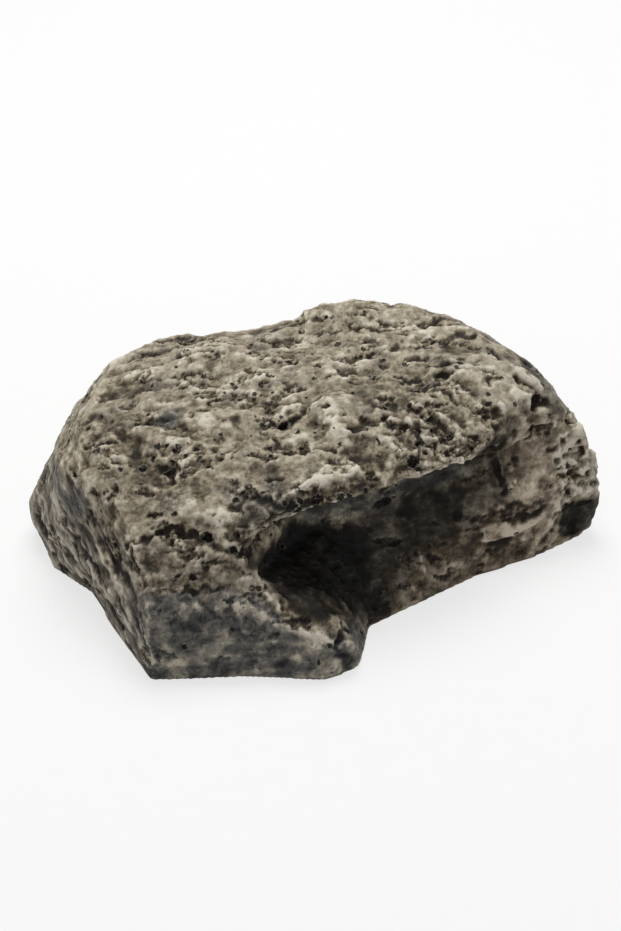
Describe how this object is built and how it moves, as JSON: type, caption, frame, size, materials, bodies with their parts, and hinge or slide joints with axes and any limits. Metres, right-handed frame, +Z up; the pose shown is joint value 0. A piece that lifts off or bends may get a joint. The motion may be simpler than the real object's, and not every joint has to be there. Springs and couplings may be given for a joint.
{
  "type": "key hiding rock",
  "caption": "Imitation stone, cast hollow, with a key compartment in its underside closed by a sliding cover that runs out of one end.",
  "frame": {"origin": "middle of the rock's footprint, on the surface that it stands on", "axes": "+X along the rock's length, towards the end where the cover slides out; -Y towards the natural hollow in the front; +Z up"},
  "size_m": [0.08, 0.0595, 0.03],
  "materials": {
    "cast_stone": "satin",
    "tub_plastic": "matte",
    "adhesive": "satin",
    "seal_foam": "matte",
    "pad_foam": "matte",
    "cover_plastic": "satin"
  },
  "bodies": {
    "rock": {"rock_shell": "cast_stone", "key_tub": "tub_plastic", "tub_adhesive": "adhesive", "cover_seal": "seal_foam", "key_pad": "pad_foam"},
    "cover": {"slide_cover": "cover_plastic"}
  },
  "joints": [
    {"name": "cover_slide", "type": "slide", "parent": "rock", "child": "cover", "axis": [1, 0, 0], "range_m": [0, 0.056]}
  ]
}
